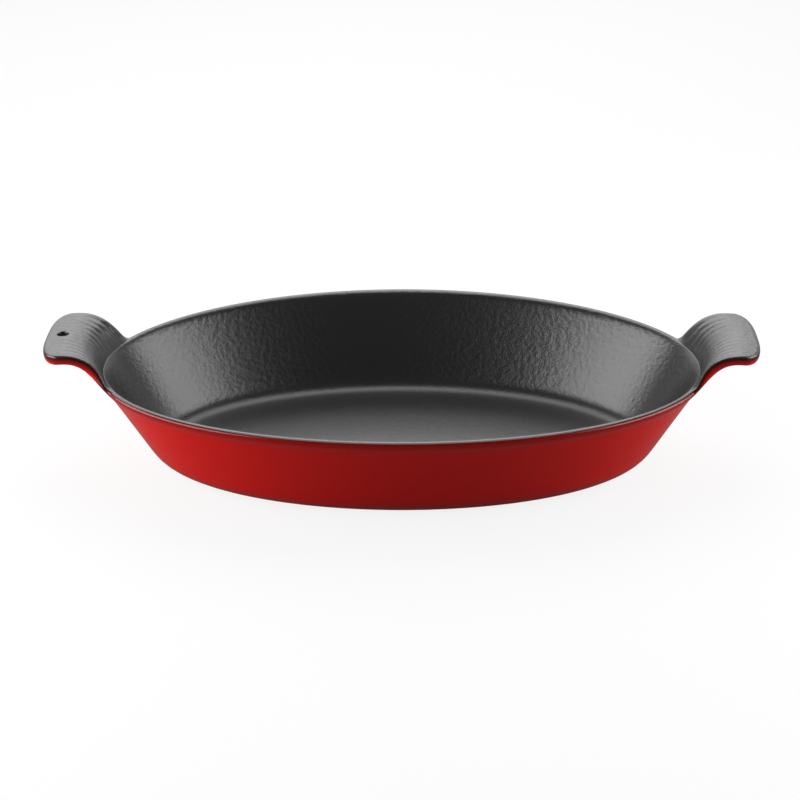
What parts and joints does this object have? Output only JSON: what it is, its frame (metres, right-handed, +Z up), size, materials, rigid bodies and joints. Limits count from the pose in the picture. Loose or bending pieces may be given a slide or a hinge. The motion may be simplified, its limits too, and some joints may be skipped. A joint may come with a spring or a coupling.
{
  "type": "serving dish",
  "caption": "Oval cast iron serving dish with flared walls, a banded rim and a grooved ear handle at each end, enamelled red outside and satin black inside, for baking and serving.",
  "frame": {"origin": "middle of the flat foot, on the table that the dish stands on", "axes": "+X along the length of the oval towards the ear without a hole, +Y across the oval, +Z up"},
  "size_m": [0.371, 0.198, 0.0685],
  "materials": {
    "cast_iron": "bare grey iron as cast and shot-blasted, hidden under the enamel",
    "red_enamel": "glossy deep red vitreous enamel",
    "black_enamel": "satin black vitreous enamel with the faint grain of the casting under it"
  },
  "bodies": {
    "root": {"iron_casting": "cast_iron", "exterior_enamel": "red_enamel", "interior_enamel": "black_enamel"}
  },
  "joints": []
}
